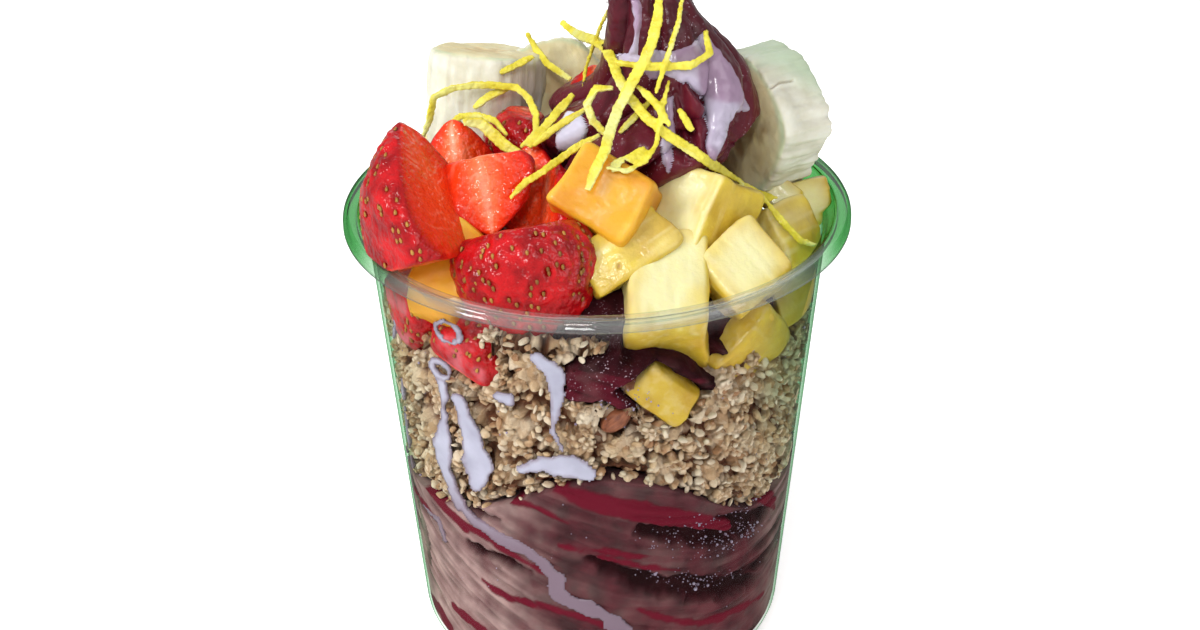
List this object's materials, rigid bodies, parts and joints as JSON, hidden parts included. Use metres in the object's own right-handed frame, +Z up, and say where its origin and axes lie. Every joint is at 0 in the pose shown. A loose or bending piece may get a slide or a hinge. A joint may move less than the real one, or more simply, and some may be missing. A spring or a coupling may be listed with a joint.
{
  "type": "acai bowl",
  "caption": "Clear rolled-rim cup of layered acai puree and granola with a ridged acai peak, cut strawberry, mango, pineapple and banana, and strips of lemon zest.",
  "frame": {"origin": "centre of the cup's foot, at the level it stands on", "axes": "+Z up along the cup's axis; -Y towards the front, where the front strawberry half and the large pineapple cube lean on the wall; +X to the right seen from the front"},
  "size_m": [0.1164, 0.117, 0.1745],
  "materials": {
    "clear_plastic": "clear, faint green where it is seen edge on",
    "acai": "wet, dark maroon with a mauve haze",
    "granola": "rough, dry toasted clusters",
    "almond": "satin brown skin",
    "strawberry": "glossy skin with seeds, wet cut faces",
    "mango": "smooth, moist",
    "pineapple": "fibrous, moist",
    "banana": "soft, matte",
    "lemon_zest": "pebbled peel, pale inside"
  },
  "bodies": {
    "root": {"cup": "clear_plastic", "acai_base": "acai", "acai_swirl": "acai", "granola": "granola", "almond": "almond", "strawberry_left": "strawberry", "strawberry_front": "strawberry", "strawberry_wedge": "strawberry", "strawberry_thin": "strawberry", "strawberry_shaded": "strawberry", "strawberry_back_left": "strawberry", "strawberry_wall_left": "strawberry", "strawberry_wall_front": "strawberry", "strawberry_peep_left": "strawberry", "strawberry_peep_middle": "strawberry", "strawberry_far": "strawberry", "mango_middle": "mango", "mango_left": "mango", "mango_bit": "mango", "mango_far": "mango", "mango_far_right": "mango", "pineapple_ridge": "pineapple", "pineapple_front": "pineapple", "pineapple_bar": "pineapple", "pineapple_right_low": "pineapple", "pineapple_right_high": "pineapple", "pineapple_right_edge": "pineapple", "pineapple_slab": "pineapple", "pineapple_wall_right": "pineapple", "pineapple_back_right": "pineapple", "pineapple_bit": "pineapple", "pineapple_far_left": "pineapple", "pineapple_far_right": "pineapple", "banana_right": "banana", "banana_back_left": "banana", "banana_back_middle": "banana", "banana_back_right": "banana", "lemon_zest_1": "lemon_zest", "lemon_zest_2": "lemon_zest", "lemon_zest_3": "lemon_zest", "lemon_zest_4": "lemon_zest", "lemon_zest_5": "lemon_zest", "lemon_zest_6": "lemon_zest", "lemon_zest_7": "lemon_zest", "lemon_zest_8": "lemon_zest", "lemon_zest_9": "lemon_zest", "lemon_zest_10": "lemon_zest", "lemon_zest_11": "lemon_zest", "lemon_zest_12": "lemon_zest", "lemon_zest_13": "lemon_zest", "lemon_zest_14": "lemon_zest"}
  },
  "joints": []
}
